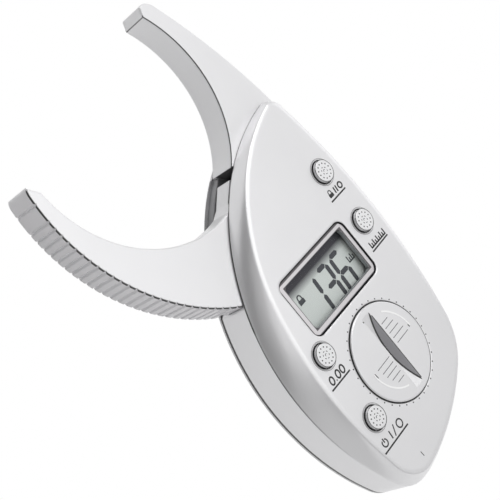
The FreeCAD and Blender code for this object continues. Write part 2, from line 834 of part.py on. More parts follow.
def thumb_grooves():
    """V grooves across the moving jaw's outer edge, and the fine line by its tip."""
    depth = DIMENSIONS["rib_depth"]
    reach = value_of(MOVING_OUTER.radius)
    half = DIMENSIONS["groove_width"] / 2
    low = DIMENSIONS["moving_jaw_back"] - CLEAR
    high = value_of(MOVING_JAW_FRONT) + CLEAR
    angles = [DIMENSIONS["first_rib_angle"] + math.degrees(DIMENSIONS["rib_pitch"] / reach) * i
              for i in range(int(DIMENSIONS["rib_count"]))]
    angles.append(DIMENSIONS["tip_line_angle"])
    grooves = []
    for angle in angles:
        corners = [Vector(reach - depth, 0, low), Vector(reach + depth, 2 * half, low),
                   Vector(reach + depth, -2 * half, low)]
        wedge = Part.Face(Part.makePolygon(corners + corners[:1])).extrude(Vector(0, 0, high - low))
        wedge.rotate(PIVOT_POINT, Vector(0, 0, 1), angle)
        wedge.translate(MOVING_OUTER.centre())
        grooves.append(wedge)
    tool = doc.addObject("Part::Feature", "thumb_grooves")
    tool.Shape = Part.makeCompound(grooves)
    return tool


def moving_jaw():
    bottom, front = dim("tongue_bottom"), MOVING_JAW_FRONT
    back = dim("moving_jaw_back")
    arm = extrude("jaw_arm", moving_arm_plan("jaw_arm_plan", back), front - back)
    arm = bevel("jaw_arm_bevelled", arm, beyond(DIMENSIONS["jaw_plain_reach"], level(front, back)),
                dim("jaw_edge_bevel"))
    arm = cut("jaw_arm_stepped", arm, cylinder("jaw_sweep", 0, 0, 0, dim("sweep_radius"), bottom))
    tongue = extrude("jaw_tongue", tongue_plan("jaw_tongue_plan", bottom),
                     TONGUE_TOP - bottom)
    bore = cylinder("jaw_bore", 0, 0, 0, dim("pin_radius") + dim("running_clearance"), FACE)
    wire, mean = dim("spring_wire"), dim("spring_mean_radius")
    reach = wire / 2 + dim("spring_room")
    coil_height = dim("spring_pitch") * dim("spring_turns") + wire
    pocket = ring("jaw_spring_pocket", PIVOT, bottom, mean - reach, mean + reach,
                  coil_height - (bottom - dim("platform_height")) + dim("spring_room"))
    leg = cylinder("jaw_spring_hole", mean, 0, bottom, wire / 2 + dim("running_clearance"),
                   coil_height + dim("spring_leg") + dim("spring_room"))
    whole = fuse("jaw_blank", arm, tongue)
    return cut("moving_jaw", whole, bore, pocket, leg, thumb_grooves())


def fixed_jaw():
    back, front = dim("fixed_jaw_back"), FACE - dim("fixed_jaw_front")
    blank = extrude("fixed_jaw_blank", fixed_jaw_plan("fixed_jaw_plan", back), front - back)
    bevelled = bevel("fixed_jaw_bevelled", blank, level(front, back), dim("jaw_edge_bevel"))
    inside = extrude("fixed_root_limit", wall_outline("fixed_root_plan", 0, INNER), FACE)
    root = common("fixed_root", bevelled, inside)
    reach = common("fixed_reach", bevelled, fixed_jaw_room("fixed_jaw_room"))
    return root, reach


def screw_holes(name, places, bottom, radius, height):
    return [cylinder(f"{name}_{i}", x, y, bottom, radius, height)
            for i, (x, y) in enumerate(places)]


def back_housing():
    rim = extrude("back_rim", wall_outline("back_rim_plan", 0), dim("rim_height"))
    rim = bevel("back_rim_bevelled", rim, level(0), dim("back_bevel"))
    floor = extrude("back_floor", wall_outline("back_floor_plan", 0, INNER),
                    dim("floor_thickness"))
    raised = dim("platform_height") - dim("rim_height")
    inner = extrude("platform_limit", wall_outline("platform_limit_plan", dim("rim_height"), INNER),
                    raised)
    disc = cylinder("platform_disc", 0, 0, dim("rim_height"), dim("platform_radius"), raised)
    outer = extrude("mouth_floor", wall_outline("mouth_floor_plan", dim("rim_height"),
                                                dim("platform_inset")), raised)
    platform = fuse("platform", common("platform_inside", inner, disc),
                    common("platform_mouth", outer, jaw_mouth("mouth_a", 0, FACE)))
    lip_height = dim("lip_height") - dim("rim_height")
    lip = cut("lip_ring",
              extrude("lip_outside", wall_outline("lip_outside_plan", dim("rim_height"), INNER),
                      lip_height),
              extrude("lip_inside", wall_outline("lip_inside_plan", dim("rim_height"),
                                                 INNER + dim("lip_width")), lip_height))
    root, reach = fixed_jaw()
    column = common("fixed_root_column",
                    extrude("root_column", fixed_jaw_plan("root_column_plan", dim("rim_height")),
                            dim("fixed_jaw_back") - dim("rim_height") + CLEAR),
                    extrude("root_column_limit", wall_outline("root_column_limit_plan", 0, INNER),
                            FACE))
    shell = fuse("back_shell", rim, floor, platform, lip, root, reach, column)
    top = dim("lip_height") + CLEAR
    holes = screw_holes("back_hole", HOUSING_SCREWS, 0,
                        dim("screw_radius") + dim("screw_clearance"), top)
    sinks = screw_holes("back_sink", HOUSING_SCREWS, 0,
                        dim("screw_head_radius") + dim("screw_clearance"),
                        dim("screw_sink") + dim("screw_head_height"))
    pin = cylinder("back_pin_hole", 0, 0, dim("pin_foot"),
                   dim("pin_radius") + dim("seat_clearance"), FACE)
    foot = cylinder("back_spring_hole", dim("spring_mean_radius"), 0,
                    dim("platform_height") + dim("spring_wire") / 2 - dim("spring_leg"),
                    dim("spring_wire") / 2 + dim("running_clearance"), dim("spring_leg"))
    return cut("back_housing", shell, pin, foot, *holes, *sinks)


def cover_shell():
    side = CREASE - dim("rim_height")
    edge = FACE - dim("edge_band_drop")
    crown, rise = DIMENSIONS["flank_crown"], edge - CREASE
    sections = [WALL.toward(FRONT, share).drawn(
                    f"cover_section_{i}",
                    CREASE + rise * (share * (1 + crown) - share ** 2 * crown))
                for i, share in enumerate(FLANK_SHARES)]
    outside = fuse("cover_outside",
                   extrude("cover_side", wall_outline("cover_side_plan", dim("rim_height")), side),
                   loft("cover_flank", *sections),
                   loft("cover_edge_band", face_outline("cover_edge_low", edge),
                        face_outline("cover_edge_high", FACE, dim("edge_band_width"))))
    wall = dim("cover_wall")
    inside = fuse("cover_inside",
                  extrude("cavity_side", wall_outline("cavity_side_plan", dim("rim_height"), wall),
                          side),
                  loft("cavity_flank", wall_outline("cavity_crease", CREASE, wall),
                       face_outline("cavity_face", UNDERSIDE, wall)))
    shell = cut("cover_shell", outside, inside)
    mouth = jaw_mouth("mouth_b", 0, CREASE)
    return cut("cover_with_mouth", shell, mouth)


def front_cover():
    drop = UNDERSIDE - BOARD_TOP
    well = ring("battery_well", BATTERY, BOARD_TOP, dim("well_radius"),
                dim("well_radius") + dim("well_wall"), drop + OVERLAP)
    bosses = [cylinder(f"boss_{i}", x, y, dim("floor_thickness"), dim("boss_radius"),
                       UNDERSIDE - dim("floor_thickness") + OVERLAP)
              for i, (x, y) in enumerate(HOUSING_SCREWS)]
    posts = [cylinder(f"post_{i}", x, y, BOARD_TOP, dim("post_radius"), drop + OVERLAP)
             for i, (x, y) in enumerate(BOARD_SCREWS)]
    blank = fuse("cover_blank", cover_shell(), well, *bosses, *posts)
    bezel_gap = dim("bezel_gap")
    through = dim("cover_wall") + CLEAR * 2
    opening = rounded_plate("bezel_opening", DISPLAY, UNDERSIDE - CLEAR,
                            dim("bezel_width") + bezel_gap * 2, dim("bezel_depth") + bezel_gap * 2,
                            through, dim("bezel_corner") + bezel_gap)
    seat = cylinder("cap_seat", *BATTERY, FACE + dim("cap_proud") - dim("cap_thickness"),
                    dim("cap_radius") + dim("cap_gap"), dim("cap_thickness"))
    ledge = cylinder("cap_hole", *BATTERY, UNDERSIDE - CLEAR, dim("ledge_radius"), through)
    lug_way = turned_slab("lug_way", BATTERY, UNDERSIDE - CLEAR,
                          (dim("ledge_radius") + dim("lug_reach") + dim("lug_clearance")) * 2,
                          dim("lug_width") + dim("lug_clearance") * 2, dim("cover_wall"),
                          DIMENSIONS["unlock_angle"])
    holes = [cylinder(f"{name}_hole", x, y, UNDERSIDE - CLEAR, dim("key_radius") + dim("key_gap"),
                      through) for name, (x, y) in KEYS.items()]
    pilots = screw_holes("boss_pilot", HOUSING_SCREWS, dim("floor_thickness"),
                         dim("screw_radius") + dim("running_clearance"), dim("screw_length"))
    post_pilots = screw_holes("post_pilot", BOARD_SCREWS, BOARD_TOP,
                              dim("board_screw_radius") + dim("running_clearance"), drop)
    return cut("front_cover", blank, opening, seat, ledge, lug_way, *holes, *pilots, *post_pilots)


def battery_cap():
    top = FACE + dim("cap_proud")
    under = top - dim("cap_thickness")
    skirt_radius = dim("ledge_radius") - dim("lug_clearance")
    disc = turned("cap_disc", BATTERY, [(0, under), (dim("cap_radius"), top)])
    disc = bevel("cap_disc_bevelled", disc, level(top), dim("cap_bevel"))
    skirt = ring("cap_skirt_ring", BATTERY, SKIRT_FOOT, skirt_radius - dim("cap_skirt"), skirt_radius,
                 under - SKIRT_FOOT)
    lug_band = ring("cap_lug_band", BATTERY, SKIRT_FOOT, skirt_radius - dim("cap_skirt"),
                    dim("ledge_radius") + dim("lug_reach"), dim("lug_height"))
    lug_box = slab("cap_lug_box", *BATTERY, SKIRT_FOOT, dim("cap_radius") * 2 + CLEAR * 2,
                   dim("lug_width"), dim("lug_height"))
    lugs = common("cap_lugs", lug_band, lug_box)
    bar_height = under - CELL_TOP - dim("lug_clearance")
    bar = common("cap_bar",
                 slab("cap_bar_box", *BATTERY, under - bar_height, dim("slot_bar_width"),
                      dim("cap_radius") * 2, bar_height + OVERLAP),
                 cylinder("cap_bar_limit", *BATTERY, under - bar_height,
                          skirt_radius - OVERLAP, bar_height + OVERLAP))
    blank = fuse("cap_blank", disc, skirt, lugs, bar)
    return cut("battery_cap", blank, coin_slot())


def coin_slot():
    """Slot for a coin: a round floor, an upright side and a flat slope up to the other side."""
    depth, half = dim("slot_depth"), dim("slot_length") / 2
    wheel = (half * half + depth * depth) / (depth * 2)
    width = dim("slot_floor_width") + dim("slot_slope_width")
    top = FACE + dim("cap_proud")
    left = dim("battery_x") + dim("slot_offset") - width / 2
    disc = doc.addObject("Part::Cylinder", "slot_wheel")
    bind(disc, "Radius", wheel)
    bind(disc, "Height", width)
    disc.Placement.Rotation = FreeCAD.Rotation(Vector(0, 1, 0), 90)
    place(disc, left, dim("battery_y"), top + wheel - depth)
    wedge = doc.addObject("Part::Wedge", "slot_wedge")
    limits = {"Xmin": 0, "Xmax": width, "X2min": 0, "X2max": dim("slot_floor_width"),
              "Ymin": 0, "Ymax": depth, "Zmin": 0, "Zmax": half * 2, "Z2min": 0, "Z2max": half * 2}
    for path, size in limits.items():
        bind(wedge, path, size)
    wedge.Placement.Rotation = FreeCAD.Rotation(Vector(1, 0, 0), -90)
    place(wedge, left, dim("battery_y") - half, top)
    return common("coin_slot", disc, wedge)


def circuit_board():
    bottom, thick = BOARD_BOTTOM, dim("board_thickness")
    sheet_plan = wall_outline("board_plan", bottom, dim("board_margin"))
    plate = extrude("board_plate", sheet_plan, thick)
    limit = box("board_limit", (-FAR, -FAR, bottom),
                (FAR * 2, dim("fixed_root_low") + FAR - dim("board_root_gap"), thick))
    board = common("board_blank", plate, limit)
    mouth = jaw_mouth("mouth_c", 0, FACE)
    mouth.Placement.Rotation = FreeCAD.Rotation(Vector(0, 0, 1), DIMENSIONS["board_mouth_angle"])
    hub = cylinder("board_hub_hole", 0, 0, bottom, dim("board_pivot_radius"), thick)
    cup = cylinder("board_cup_hole", *BATTERY, bottom, cup_radius() + dim("board_clearance"), thick)
    bosses = screw_holes("board_boss_hole", HOUSING_SCREWS, bottom,
                         dim("boss_radius") + dim("board_clearance"), thick)
    pilots = screw_holes("board_screw_hole", BOARD_SCREWS, bottom,
                         dim("board_screw_radius") + dim("screw_clearance") / 2, thick)
    return cut("circuit_board", board, mouth, hub, cup, *bosses, *pilots)


def cup_radius():
    return dim("cell_radius") + dim("cup_clearance") + dim("cup_wall")


def battery_parts():
    contact = dim("contact_thickness")
    floor_top = CELL_BOTTOM - dim("contact_rise") - contact
    bottom = floor_top - dim("cup_floor")
    flange_top = BOARD_TOP + dim("cup_flange_height")
    cup = turned("cup_blank", BATTERY, [
        (0, bottom), (cup_radius(), BOARD_TOP),
        (cup_radius() + dim("cup_flange"), flange_top),
        (cup_radius(), UNDERSIDE - dim("cup_headroom"))])
    bore = cylinder("cup_bore", *BATTERY, floor_top, dim("cell_radius") + dim("cup_clearance"), FACE)
    cup = cut("battery_cup", cup, bore)
    cell = turned("coin_cell", BATTERY, [
        (0, CELL_BOTTOM), (dim("cell_radius") - dim("cell_shoulder"),
                                  CELL_BOTTOM + dim("cell_shoulder")),
        (dim("cell_radius"), CELL_TOP)])
    return [cup, cell, contact_negative(floor_top), contact_positive()]


def contact_negative(floor_top):
    """Bowed leaf on the cup's floor, its crown against the cell."""
    thick, rise = DIMENSIONS["contact_thickness"], DIMENSIONS["contact_rise"]
    half, crown = DIMENSIONS["leaf_half_length"], DIMENSIONS["contact_crown"]
    knee = crown + rise
    lower = [(-half, 0), (-knee, 0), (-crown, rise), (crown, rise), (knee, 0), (half, 0)]
    upper = [(x, z + thick) for x, z in reversed(lower)]
    outline = Profile("leaf_profile", 0)
    points = [Vector(x, z, 0) for x, z in lower + upper]
    for start, end in zip(points, points[1:] + points[:1]):
        outline.line(start, end)
    sketch = outline.close()
    sketch.setExpression("Placement.Base.z", None)
    sketch.Placement = FreeCAD.Placement(
        Vector(DIMENSIONS["battery_x"], DIMENSIONS["battery_y"] + DIMENSIONS["contact_width"] / 2,
               value_of(floor_top)),
        FreeCAD.Rotation(Vector(1, 0, 0), 90))
    leaf = doc.addObject("Part::Extrusion", "contact_negative")
    leaf.Base = sketch
    leaf.DirMode = "Custom"
    leaf.Dir = Vector(0, -1, 0)
    leaf.Solid = True
    bind(leaf, "LengthFwd", dim("contact_width"))
    return leaf


def contact_positive():
    """Curved leaf between the cell's rim and the cup's wall."""
    bottom = CELL_BOTTOM + dim("cell_shoulder")
    height = SKIRT_FOOT - dim("lug_clearance") - bottom
    band = ring("rim_contact_band", BATTERY, bottom,
                dim("cell_radius") + dim("seat_clearance"),
                dim("cell_radius") + dim("cup_clearance") - dim("seat_clearance"), height)
    window = box("rim_contact_window",
                 (dim("battery_x"), dim("battery_y") - dim("contact_width") / 2, bottom),
                 (dim("cell_radius") * 2, dim("contact_width"), height))
    return common("contact_positive", band, window)


def display_parts():
    sill = UNDERSIDE + dim("window_sill")
    width, depth = dim("bezel_width"), dim("bezel_depth")
    inner_width = width - dim("bezel_frame") * 2
    inner_depth = depth - dim("bezel_frame") * 2
    inner_corner = dim("bezel_corner") - dim("bezel_frame") / 2
    flange = dim("bezel_flange")
    foot = UNDERSIDE - flange
    frame = rounded_plate("bezel_frame_blank", DISPLAY, foot, width, depth,
                          FACE - dim("bezel_sink") - foot, dim("bezel_corner"))
    skirt = rounded_plate("bezel_flange_blank", DISPLAY, foot, width + dim("bezel_flange_reach") * 2,
                          depth + dim("bezel_flange_reach") * 2, flange, dim("bezel_corner"))
    sight = rounded_plate("bezel_sight", DISPLAY, foot - CLEAR, inner_width, inner_depth,
                          FACE - foot + CLEAR * 2, inner_corner)
    rebate = rounded_plate("bezel_rebate", DISPLAY, foot - CLEAR,
                           inner_width + (dim("window_overlap") + dim("seat_clearance")) * 2,
                           inner_depth + (dim("window_overlap") + dim("seat_clearance")) * 2,
                           sill - foot + CLEAR, inner_corner)
    bezel = cut("display_bezel", fuse("bezel_blank", frame, skirt), sight, rebate)
    plate_width = inner_width + dim("window_overlap") * 2
    plate_depth = inner_depth + dim("window_overlap") * 2
    window = rounded_plate("display_window", DISPLAY, sill - dim("window_thickness"), plate_width,
                           plate_depth, dim("window_thickness"), inner_corner)
    glass_top = sill - dim("window_thickness")
    glass = rounded_plate("display_glass", DISPLAY, glass_top - dim("glass_thickness"), plate_width,
                          plate_depth, dim("glass_thickness"), inner_corner)
    strip_height = glass_top - dim("glass_thickness") - BOARD_TOP
    reach = plate_depth / 2 - dim("strip_width") / 2
    strips = [slab(f"contact_strip_{i}", DISPLAY[0], DISPLAY[1] + offset, BOARD_TOP,
                   inner_width, dim("strip_width"), strip_height)
              for i, offset in enumerate((reach, -reach))]
    chip = turned("display_chip", DISPLAY, [
        (0, BOARD_TOP), (dim("chip_radius"), BOARD_TOP + dim("chip_height"))])
    return [bezel, window, glass, group("contact_strips", strips), chip]


def group(name, solids):
    """Several equal pieces in one node."""
    thing = doc.addObject("Part::Compound", name)
    thing.Links = list(solids)
    return thing


def key_caps():
    foot = UNDERSIDE - dim("key_flange_height")
    caps = []
    for name, centre in KEYS.items():
        cap = turned(name + "_blank", centre, [
            (0, foot - dim("key_stem")), (dim("key_stem_radius"), foot),
            (dim("key_flange_radius"), UNDERSIDE),
            (dim("key_radius"), FACE + dim("key_proud"))])
        caps.append(bevel(name, cap, level(FACE + dim("key_proud")), dim("key_bevel")))
    return caps


def key_switches():
    switches = []
    for name, (x, y) in KEYS.items():
        base = slab(name + "_switch_base", x, y, BOARD_TOP,
                    dim("switch_width"), dim("switch_width"), dim("switch_height"))
        dome = cylinder(name + "_switch_dome", x, y, BOARD_TOP + dim("switch_height"),
                        dim("switch_dome_radius"), dim("switch_dome_height"))
        switches.append(fuse(name + "_switch", base, dome))
    return group("key_switches", switches)


def pivot_parts():
    head_foot = TONGUE_TOP + dim("wave_washer_height")
    pin = turned("pivot_pin", PIVOT, [
        (0, dim("pin_foot")), (dim("pin_radius"), head_foot),
        (dim("pin_head_radius"), head_foot + dim("pin_head_height"))])
    bore = dim("pin_radius") + dim("running_clearance")
    washer = ring("pivot_washer", PIVOT, dim("platform_height"), bore, dim("washer_radius"),
                  dim("tongue_bottom") - dim("platform_height"))
    wave = ring("wave_washer", PIVOT, TONGUE_TOP, bore, dim("washer_radius"),
                dim("wave_washer_height"))
    return [pin, washer, wave]


def torsion_spring():
    """Coil of square wire, one leg down in the housing and one up in the jaw."""
    wire, mean = DIMENSIONS["spring_wire"], DIMENSIONS["spring_mean_radius"]
    turns, pitch = DIMENSIONS["spring_turns"], DIMENSIONS["spring_pitch"]
    start = DIMENSIONS["platform_height"] + wire / 2
    path = Part.makeHelix(pitch, pitch * turns, mean)
    path.translate(Vector(0, 0, start))
    corners = [Vector(mean + wire / 2 * across, 0, start + wire / 2 * up)
               for across, up in ((-1, -1), (1, -1), (1, 1), (-1, 1))]
    section = Part.makePolygon(corners + corners[:1])
    coil = Part.Wire(path).makePipeShell([section], True, True)
    leg = DIMENSIONS["spring_leg"]
    top = start + pitch * turns
    leg_radius = wire / 2 - DIMENSIONS["seat_clearance"]
    lower = Part.makeCylinder(leg_radius, leg, Vector(mean, 0, start - leg))
    upper = Part.makeCylinder(leg_radius, leg, Vector(mean, 0, top))
    spring = doc.addObject("Part::Feature", "torsion_spring")
    spring.Shape = coil.fuse([lower, upper])
    return spring


def rotor_plate():
    """Patterned sector of the capacitive encoder, on the jaw's tail."""
    band = ring("rotor_band", PIVOT, TONGUE_TOP, dim("rotor_inner_radius"),
                dim("tail_radius") - dim("rotor_edge"), dim("rotor_thickness"))
    start = DIMENSIONS["tail_start_angle"] + DIMENSIONS["rotor_end_angle"]
    wedge = doc.addObject("Part::Cylinder", "rotor_wedge")
    bind(wedge, "Radius", dim("tail_radius"))
    bind(wedge, "Height", FACE)
    wedge.Angle = DIMENSIONS["tail_end_angle"] - DIMENSIONS["rotor_end_angle"] - start
    wedge.Placement.Rotation = FreeCAD.Rotation(Vector(0, 0, 1), start)
    return common("rotor_plate", band, wedge)


def screws(name, places, steps):
    return group(name, [turned(f"{name}_{i}", centre, steps) for i, centre in enumerate(places)])


def fasteners():
    head = dim("screw_sink") + dim("screw_head_height")
    housing = screws("housing_screws", HOUSING_SCREWS, [
        (0, dim("screw_sink")), (dim("screw_head_radius"), head),
        (dim("screw_radius"), head + dim("screw_length"))])
    bottom = BOARD_BOTTOM
    board = screws("board_screws", BOARD_SCREWS, [
        (0, bottom - dim("board_screw_head_height")), (dim("board_screw_head_radius"), bottom),
        (dim("board_screw_radius"), bottom + dim("board_screw_length"))])
    return [housing, board]


# ---------------------------------------------------------------- build, check and write

parts = [back_housing(), front_cover(), moving_jaw(), torsion_spring(), rotor_plate(),
         circuit_board(), battery_cap(), key_switches()]
parts += pivot_parts() + battery_parts() + display_parts() + key_caps() + fasteners()
doc.recompute()

for thing in doc.Objects:
    faults = {"Invalid", "Error"} & set(thing.State)
    if faults:
        raise RuntimeError(f"{thing.Name}: {faults}")

os.makedirs("parts", exist_ok=True)
for part in parts:
    part.Label = part.Name
    shape = part.Shape
    if shape.isNull() or not shape.isValid():
        raise RuntimeError(f"{part.Label}: no valid shape")
    shape.exportStep(f"parts/{part.Label}.step")
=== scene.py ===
import bpy
import functools
import math
from mathutils import Matrix, Vector


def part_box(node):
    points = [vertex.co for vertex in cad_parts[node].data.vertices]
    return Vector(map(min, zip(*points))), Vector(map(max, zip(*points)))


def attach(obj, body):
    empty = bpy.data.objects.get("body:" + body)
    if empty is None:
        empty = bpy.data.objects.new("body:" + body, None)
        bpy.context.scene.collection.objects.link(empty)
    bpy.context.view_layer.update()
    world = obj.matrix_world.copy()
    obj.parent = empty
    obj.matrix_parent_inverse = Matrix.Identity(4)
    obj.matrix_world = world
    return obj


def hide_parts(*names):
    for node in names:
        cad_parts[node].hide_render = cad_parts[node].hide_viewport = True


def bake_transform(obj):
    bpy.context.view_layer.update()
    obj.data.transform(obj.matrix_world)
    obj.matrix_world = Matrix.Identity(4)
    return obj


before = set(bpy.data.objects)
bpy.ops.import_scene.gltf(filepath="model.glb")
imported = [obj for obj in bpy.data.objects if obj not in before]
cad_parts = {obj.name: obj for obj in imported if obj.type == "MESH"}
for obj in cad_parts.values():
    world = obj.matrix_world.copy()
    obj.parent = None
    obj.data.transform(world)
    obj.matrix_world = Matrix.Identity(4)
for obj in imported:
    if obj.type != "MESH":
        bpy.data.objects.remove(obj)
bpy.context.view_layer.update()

# Places and sizes are millimetres in the part's own frame; MM turns them into Blender's metres.
MM = 0.001
scene = bpy.context.scene

# levels along Z
PARTING = 1.1        # seam between the housing and the cover
JAW_STEP = 4.0       # top of the housing's wall, and bottom of the slit that the jaw turns in
JAW_FRONT = 11.25    # just over the front of both jaws
CREASE = 11.4        # edge between the cover's wall and its flank
GLASS = 13.8         # front of the display glass
FACE = 16.4          # front face of the cover
CAP_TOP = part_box("battery_cap")[1][2] / MM

# middles of the battery cap and of the keys
CAP = (4.88, -46.27)
KEY_PLACES = {"hold": (24.7, -2.7), "unit": (25.0, -18.8), "zero": (-12.25, -33.7),
              "power": (-12.25, -53.3)}

# holes in the cover: radii of the round ones, and the sides of the bezel's
KEY_HOLE, CAP_HOLE = 3.35, 13.1
BEZEL_HOLE_X, BEZEL_HOLE_Y = (-10.5, 19.5), (-30.55, -13.65)

# arcs of the outline: x, y and radius
BODY_ARC = (35.94, -39.15, 59.45)
FIXED_JAW_ARC = (-14.1, 39.07, 33.6)
RIB_ARC = (8.56, 32.45, 51.5)
HUB_ARC = (0.0, 0.0, 12.6)
# foot of the slope in the cap's coin slot: x, y and the radii of the line along it
SLOPE_FOOT = (43.45, CAP[1], 37.92, 38.26)


# ---------------------------------------------------------------- materials

class Surface:
    """A procedural material: base colour with a slow drift, fine grain and soft edges."""

    DRIFT_SCALE, DRIFT_DETAIL = 60.0, 2.0
    GRAIN_DETAIL = 3.0
    ROUGHNESS_SPREAD = 0.04
    BUMP_HEIGHT = 0.1
    EDGE_SAMPLES = 8
    SOFT = 0.1

    def __init__(self, name, colour, roughness, metallic=0.0, grain=9000.0, bump=0.02,
                 variation=0.03, edge=0.0):
        self.made = bpy.data.materials.new(name)
        self.made.use_nodes = True
        self.tree = self.made.node_tree
        self.main = self.tree.nodes["Principled BSDF"]
        self.place = self.add("ShaderNodeTexCoord")
        self.colour = self.drifting(colour, variation)
        self.metallic = metallic
        fine = self.noise(grain, self.GRAIN_DETAIL)
        self.roughness = self.ranged(fine, 0.0, 1.0, roughness - self.ROUGHNESS_SPREAD,
                                     roughness + self.ROUGHNESS_SPREAD)
        height = self.add("ShaderNodeBump")
        height.inputs["Strength"].default_value = bump
        height.inputs["Distance"].default_value = self.BUMP_HEIGHT * MM
        self.plug(fine, height.inputs["Height"])
        if edge:
            soft = self.add("ShaderNodeBevel")
            soft.samples = self.EDGE_SAMPLES
            soft.inputs["Radius"].default_value = edge * MM
            self.plug(soft.outputs["Normal"], height.inputs["Normal"])
        self.plug(height.outputs["Normal"], self.main.inputs["Normal"])
        self.finish()

    def add(self, kind):
        return self.tree.nodes.new(kind)

    def plug(self, value, socket):
        """Feed a socket with another node's output or with a number."""
        if isinstance(value, bpy.types.NodeSocket):
            self.tree.links.new(value, socket)
        else:
            socket.default_value = value

    def finish(self):
        self.plug(self.colour, self.main.inputs["Base Color"])
        self.plug(self.metallic, self.main.inputs["Metallic"])
        self.plug(self.roughness, self.main.inputs["Roughness"])

    def noise(self, scale, detail):
        made = self.add("ShaderNodeTexNoise")
        made.inputs["Scale"].default_value = scale
        made.inputs["Detail"].default_value = detail
        self.plug(self.place.outputs["Object"], made.inputs["Vector"])
        return made.outputs["Fac"]

    def ranged(self, value, low, high, first, last):
        """Turn the range low to high into first to last, held at the ends."""
        made = self.add("ShaderNodeMapRange")
        for socket, number in (("From Min", low), ("From Max", high),
                               ("To Min", first), ("To Max", last)):
            made.inputs[socket].default_value = number
        self.plug(value, made.inputs["Value"])
        return made.outputs["Result"]

    def step(self, operation, *values):
        """One step of arithmetic."""
        made = self.add("ShaderNodeMath")
        made.operation = operation
        for value, socket in zip(values, made.inputs):
            self.plug(value, socket)
        return made.outputs[0]

    def blend(self, mask, first, second):
        """A colour: the first where the mask is 0, the second where it is 1."""
        made = self.add("ShaderNodeMix")
        made.data_type = "RGBA"
        self.plug(mask, made.inputs["Factor"])
        self.plug(first, made.inputs["A"])
        self.plug(second, made.inputs["B"])
        return made.outputs["Result"]

    def drifting(self, colour, variation):
        low = (*[c * (1 - variation) for c in colour], 1)
        high = (*[min(1, c * (1 + variation)) for c in colour], 1)
        return self.blend(self.noise(self.DRIFT_SCALE, self.DRIFT_DETAIL), low, high)

    def axis(self, name, source="Object"):
        made = self.add("ShaderNodeSeparateXYZ")
        self.plug(self.place.outputs[source], made.inputs[0])
        return made.outputs[name]

    # masks: 1 inside, 0 outside, with a soft border

    def between(self, name, low, high, soft=SOFT):
        """Inside a slice of the object along an axis."""
        middle, half = (low + high) / 2, (high - low) / 2
        away = self.step("ABSOLUTE", self.step("SUBTRACT", self.axis(name), middle * MM))
        return self.ranged(away, (half - soft / 2) * MM, (half + soft / 2) * MM, 1.0, 0.0)

    def around(self, x, y, radius, soft=SOFT):
        """Inside a round column."""
        across = self.step("SUBTRACT", self.axis("X"), x * MM)
        along = self.step("SUBTRACT", self.axis("Y"), y * MM)
        square = self.step("ADD", self.step("MULTIPLY", across, across),
                           self.step("MULTIPLY", along, along))
        away = self.step("POWER", square, 0.5)
        return self.ranged(away, (radius - soft / 2) * MM, (radius + soft / 2) * MM, 1.0, 0.0)

    def ring(self, x, y, inner, outer, soft=SOFT):
        """Between two round columns on one axis."""
        hole = self.around(x, y, inner, soft)
        return self.all_of(self.around(x, y, outer, soft), self.outside(hole))

    def facing(self, name, full, none):
        """On faces that look along an axis: 1 past one value of the normal, 0 before the other."""
        return self.ranged(self.axis(name, "Normal"), full, none, 1.0, 0.0)

    def upright(self):
        """On faces that stand upright, or nearly so."""
        return self.ranged(self.step("ABSOLUTE", self.axis("Z", "Normal")), 0.2, 0.4, 1.0, 0.0)

    def outside(self, mask):
        return self.step("SUBTRACT", 1.0, mask)

    def all_of(self, *masks):
        return functools.reduce(lambda a, b: self.step("MULTIPLY", a, b), masks)

    def any_of(self, *masks):
        return functools.reduce(lambda a, b: self.step("MAXIMUM", a, b), masks)

    def shade(self, mask, colour):
        """Turn to a plain, non-metallic colour where the mask is 1; mostly used to paint shade
        into the surface.
        """
        self.colour = self.blend(mask, self.colour, (*colour, 1))
        self.metallic = self.step("MULTIPLY", self.ranged(mask, 0.0, 1.0, 1.0, 0.0), self.metallic)
        self.finish()

    def faded(self, axis, start, end, share):
        """Darken the colour by a share at start, fading out toward end."""
        depth = self.ranged(self.axis(axis), start * MM, end * MM, share, 0.0)
        self.colour = self.blend(depth, self.colour, (*DEEP_SHADOW, 1))
        self.finish()


# painted shade: near-black for the walls of holes and gaps and for the recess behind the jaws
PAINTED_RECESS_SHADE = (0.045, 0.045, 0.05)
LINE = (0.05, 0.05, 0.055)
DEEP_SHADOW = (0.02, 0.018, 0.03)
BODY_Y = (-90.0, 13.35)      # from behind the body's end to the mouth's far side


def silver(name, edge, metallic=0.52):
    """Satin silver paint over plastic."""
    return Surface(name, (0.80, 0.798, 0.81), 0.30, metallic=metallic, edge=edge)


